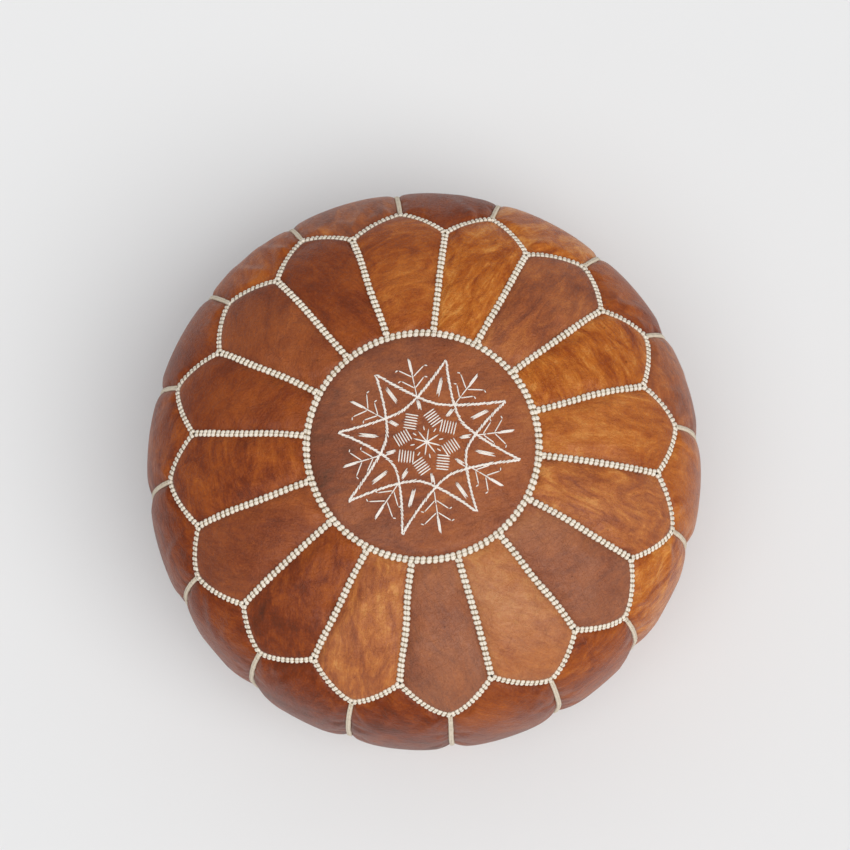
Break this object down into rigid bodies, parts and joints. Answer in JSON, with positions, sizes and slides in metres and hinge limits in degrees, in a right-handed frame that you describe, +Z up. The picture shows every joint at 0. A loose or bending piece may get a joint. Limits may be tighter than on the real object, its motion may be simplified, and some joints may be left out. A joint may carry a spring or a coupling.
{
  "type": "moroccan leather pouf",
  "caption": "Round stuffed floor pouf of dyed leather panels joined by braided seams, with an embroidered medallion on top and a zipped base.",
  "frame": {"origin": "on the floor, under the middle of the pouf", "axes": "+Z up through the medallion; X along the zip in the base, with the zip's closed end at +X"},
  "size_m": [0.546, 0.546, 0.3008],
  "materials": {
    "tan_leather": "soft sheen, cloudy dye",
    "brown_leather": "soft sheen, cloudy dye",
    "medallion_leather": "soft sheen, cloudy dye",
    "braid_cord": "silky twisted cord",
    "embroidery_thread": "silky thread",
    "zip_tape": "woven tape",
    "zip_brass": "tumbled",
    "calico": "plain weave",
    "filling": "loose fibre"
  },
  "bodies": {
    "pouf": {"medallion": "medallion_leather", "top_petal_01": "tan_leather", "top_petal_02": "brown_leather", "top_petal_03": "brown_leather", "top_petal_04": "tan_leather", "top_petal_05": "brown_leather", "top_petal_06": "brown_leather", "top_petal_07": "tan_leather", "top_petal_08": "brown_leather", "top_petal_09": "brown_leather", "top_petal_10": "tan_leather", "top_petal_11": "brown_leather", "top_petal_12": "brown_leather", "top_petal_13": "tan_leather", "top_petal_14": "brown_leather", "top_petal_15": "brown_leather", "top_petal_16": "tan_leather", "side_panel_01": "brown_leather", "side_panel_02": "tan_leather", "side_panel_03": "brown_leather", "side_panel_04": "brown_leather", "side_panel_05": "tan_leather", "side_panel_06": "brown_leather", "side_panel_07": "brown_leather", "side_panel_08": "tan_leather", "side_panel_09": "brown_leather", "side_panel_10": "brown_leather", "side_panel_11": "tan_leather", "side_panel_12": "brown_leather", "side_panel_13": "brown_leather", "side_panel_14": "tan_leather", "side_panel_15": "brown_leather", "side_panel_16": "brown_leather", "bottom_petals": "brown_leather", "base_panel_left": "brown_leather", "base_panel_right": "brown_leather", "ring_braid": "braid_cord", "petal_seam_braids": "braid_cord", "upper_zigzag_braid": "braid_cord", "side_seam_braids": "braid_cord", "lower_zigzag_braid": "braid_cord", "bottom_seam_braids": "braid_cord", "base_ring_braid": "braid_cord", "embroidered_star": "embroidery_thread", "embroidered_sprigs": "embroidery_thread", "embroidered_spindles": "embroidery_thread", "embroidered_squares": "embroidery_thread", "embroidered_rosette": "embroidery_thread", "zip_tape_left": "zip_tape", "zip_tape_right": "zip_tape", "zip_teeth_left": "zip_brass", "zip_teeth_right": "zip_brass", "zip_top_stops": "zip_brass", "zip_bottom_stop": "zip_brass", "insert_cover": "calico", "insert_filling": "filling"},
    "slider": {"zip_slider": "zip_brass"},
    "pull_tab": {"zip_pull_tab": "zip_brass"}
  },
  "joints": [
    {"name": "zip_slide", "type": "slide", "parent": "pouf", "child": "slider", "axis": [-1, 0, 0], "range_m": [0, 0.25356]},
    {"name": "pull_tab_hinge", "type": "hinge", "parent": "slider", "child": "pull_tab", "pos_m": [0.12678, 0, 0.0058], "axis": [0, -1, 0], "range_deg": [0, 180]}
  ]
}
